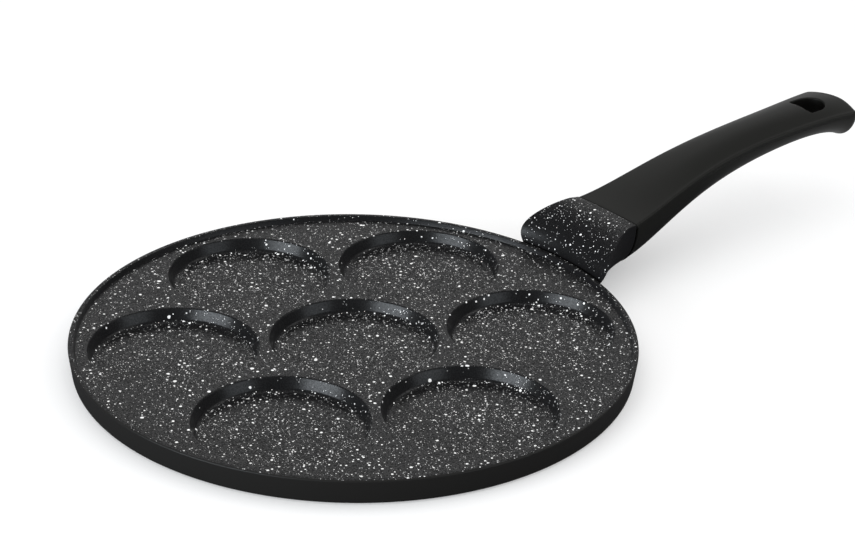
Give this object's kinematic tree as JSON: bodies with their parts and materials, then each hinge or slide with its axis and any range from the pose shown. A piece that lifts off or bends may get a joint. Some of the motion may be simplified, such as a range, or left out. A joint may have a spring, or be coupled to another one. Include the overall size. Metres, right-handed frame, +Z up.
{
  "type": "pancake pan",
  "caption": "Flat round cast pan with round wells for small pancakes, a flared lug and an arched soft-touch handle with a hanging hole.",
  "frame": {"origin": "centre of the turned base, on the pan's axis", "axes": "+Z up out of the base along the pan's axis, +X along the handle, symmetric about the XZ plane"},
  "size_m": [0.4525, 0.26, 0.0537],
  "materials": {
    "speckled_coating": "matte non-stick coating with white speckles",
    "soft_touch_black": "soft-touch matte",
    "zinc_steel": "bright zinc plating"
  },
  "bodies": {
    "root": {"pan_body": "speckled_coating", "handle_grip": "soft_touch_black", "handle_screw": "zinc_steel", "spring_washer": "zinc_steel", "flat_washer": "zinc_steel"}
  },
  "joints": []
}
